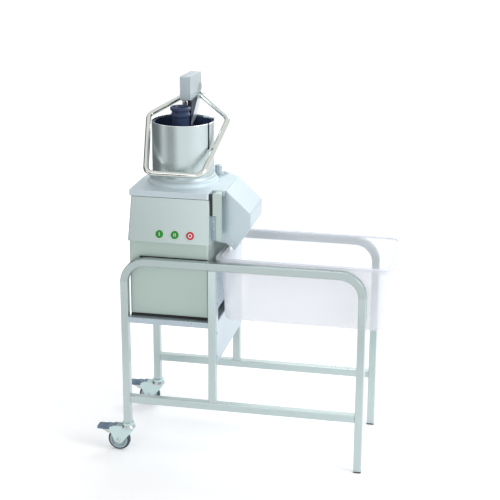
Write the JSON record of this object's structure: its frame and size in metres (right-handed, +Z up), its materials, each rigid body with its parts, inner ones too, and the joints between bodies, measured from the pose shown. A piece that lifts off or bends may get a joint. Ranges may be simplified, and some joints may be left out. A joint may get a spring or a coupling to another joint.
{
  "type": "vegetable cutting machine",
  "caption": "Floor-standing vegetable cutting machine: lever-pushed hopper and disc chamber over a motor base, side discharge hood and tub, on a tubular stand with braked casters.",
  "frame": {"origin": "on the floor, under the middle of the whole machine's outline", "axes": "+Z up; the front with the buttons faces -Y; +X runs along the stand to the tub's end"},
  "size_m": [0.96, 0.418, 1.2209],
  "materials": {
    "stand_tube": "satin",
    "stainless_sheet": "satin",
    "hopper_steel": "polished",
    "polished_tube": "polished",
    "zinc_plated": "satin",
    "housing_alloy": "satin",
    "button_trim": "gloss",
    "cast_alloy": "satin",
    "blade_steel": "polished",
    "motor_iron": "rough",
    "navy_plastic": "gloss",
    "black_plastic": "matt",
    "knob_plastic": "matt",
    "green_button": "gloss",
    "red_button": "gloss",
    "clear_plastic": "translucent",
    "wheel_plastic": "gloss",
    "tread_rubber": "matt",
    "pedal_plastic": "matt",
    "foot_rubber": "matt"
  },
  "bodies": {
    "stand": {"front_side_frame": "stand_tube", "rear_side_frame": "stand_tube", "lower_rails": "stand_tube", "mid_posts": "stand_tube", "machine_shelf": "stainless_sheet", "side_plate": "stainless_sheet", "leg_end_caps": "black_plastic", "front_caster_stem": "zinc_plated", "rear_caster_stem": "zinc_plated", "rubber_feet": "foot_rubber", "base_plate": "stainless_sheet", "motor_housing": "stainless_sheet", "motor_stator": "motor_iron", "lower_end_bell": "cast_alloy", "upper_end_bell": "cast_alloy", "shaft_bearings": "zinc_plated", "shaft_seal": "foot_rubber", "upper_housing": "housing_alloy", "button_bezels": "button_trim", "switch_block": "black_plastic", "discharge_hood": "cast_alloy", "latch_bracket": "cast_alloy", "latch_pin": "zinc_plated", "hinge_brackets": "zinc_plated"},
    "lid": {"lid": "cast_alloy", "lid_hinge_pin": "zinc_plated", "hopper": "hopper_steel", "hopper_collar": "cast_alloy", "collar_clamp": "cast_alloy", "guide_sleeve": "polished_tube"},
    "knob": {"collar_knob": "knob_plastic"},
    "pusher": {"lever_head": "cast_alloy", "handle_loop": "polished_tube", "guide_rod": "polished_tube", "pusher_stem": "polished_tube", "head_web": "navy_plastic", "pusher_strap": "polished_tube", "pusher_cup": "navy_plastic", "feed_tube": "navy_plastic"},
    "drive": {"drive_shaft": "zinc_plated", "motor_rotor": "motor_iron", "ejector_disc": "cast_alloy", "slicing_disc": "cast_alloy", "slicing_blades": "blade_steel", "disc_cap": "cast_alloy"},
    "latch": {"latch_lever": "cast_alloy"},
    "start_1": {"start_button_1": "green_button"},
    "start_2": {"start_button_2": "green_button"},
    "stop": {"stop_button": "red_button"},
    "tub": {"tub": "clear_plastic"},
    "front_caster": {"front_caster_fork": "zinc_plated", "front_caster_bolts": "zinc_plated"},
    "front_wheel": {"front_caster_wheel": "wheel_plastic", "front_caster_tyre": "tread_rubber"},
    "front_pedal": {"front_brake_pedal": "pedal_plastic"},
    "rear_caster": {"rear_caster_fork": "zinc_plated", "rear_caster_bolts": "zinc_plated"},
    "rear_wheel": {"rear_caster_wheel": "wheel_plastic", "rear_caster_tyre": "tread_rubber"},
    "rear_pedal": {"rear_brake_pedal": "pedal_plastic"}
  },
  "joints": [
    {"name": "lid_hinge", "type": "hinge", "parent": "stand", "child": "lid", "pos_m": [-0.226, 0.172, 0.879], "axis": [-1, 0, 0], "range_deg": [0, 80]},
    {"name": "pusher_lift", "type": "slide", "parent": "lid", "child": "pusher", "axis": [0, 0, 1], "range_m": [0, 0.215]},
    {"name": "clamp_knob_turn", "type": "hinge", "parent": "lid", "child": "knob", "pos_m": [-0.126, 0.07, 0.914], "axis": [0, 0, 1], "continuous": true},
    {"name": "drive_spin", "type": "hinge", "parent": "stand", "child": "drive", "pos_m": [-0.226, 0, 0.8], "axis": [0, 0, 1], "continuous": true},
    {"name": "latch_swing", "type": "hinge", "parent": "stand", "child": "latch", "pos_m": [-0.075, -0.139, 0.752], "axis": [1, 0, 0], "range_deg": [0, 35], "stiffness_Nm_per_rad": 0.5, "springref_deg": -17.19},
    {"name": "start_1_press", "type": "slide", "parent": "stand", "child": "start_1", "axis": [0, 0.9674, -0.2533], "range_m": [0, 0.003], "stiffness_N_per_m": 800},
    {"name": "start_2_press", "type": "slide", "parent": "stand", "child": "start_2", "axis": [0, 0.9674, -0.2533], "range_m": [0, 0.003], "stiffness_N_per_m": 800},
    {"name": "stop_press", "type": "slide", "parent": "stand", "child": "stop", "axis": [0, 0.9674, -0.2533], "range_m": [0, 0.003], "stiffness_N_per_m": 800},
    {"name": "tub_slide", "type": "slide", "parent": "stand", "child": "tub", "axis": [1, 0, 0], "range_m": [0, 0.11]},
    {"name": "front_caster_swivel", "type": "hinge", "parent": "stand", "child": "front_caster", "pos_m": [-0.3765, -0.1855, 0.09], "axis": [0, 0, 1], "continuous": true},
    {"name": "front_wheel_roll", "type": "hinge", "parent": "front_caster", "child": "front_wheel", "pos_m": [-0.408, -0.1855, 0.0375], "axis": [0, 1, 0], "continuous": true},
    {"name": "front_brake", "type": "hinge", "parent": "front_caster", "child": "front_pedal", "pos_m": [-0.42, -0.1855, 0.079], "axis": [0, -1, 0], "range_deg": [0, 12]},
    {"name": "rear_caster_swivel", "type": "hinge", "parent": "stand", "child": "rear_caster", "pos_m": [-0.3765, 0.1855, 0.09], "axis": [0, 0, 1], "continuous": true},
    {"name": "rear_wheel_roll", "type": "hinge", "parent": "rear_caster", "child": "rear_wheel", "pos_m": [-0.408, 0.1855, 0.0375], "axis": [0, 1, 0], "continuous": true},
    {"name": "rear_brake", "type": "hinge", "parent": "rear_caster", "child": "rear_pedal", "pos_m": [-0.42, 0.1855, 0.079], "axis": [0, -1, 0], "range_deg": [0, 12]}
  ]
}
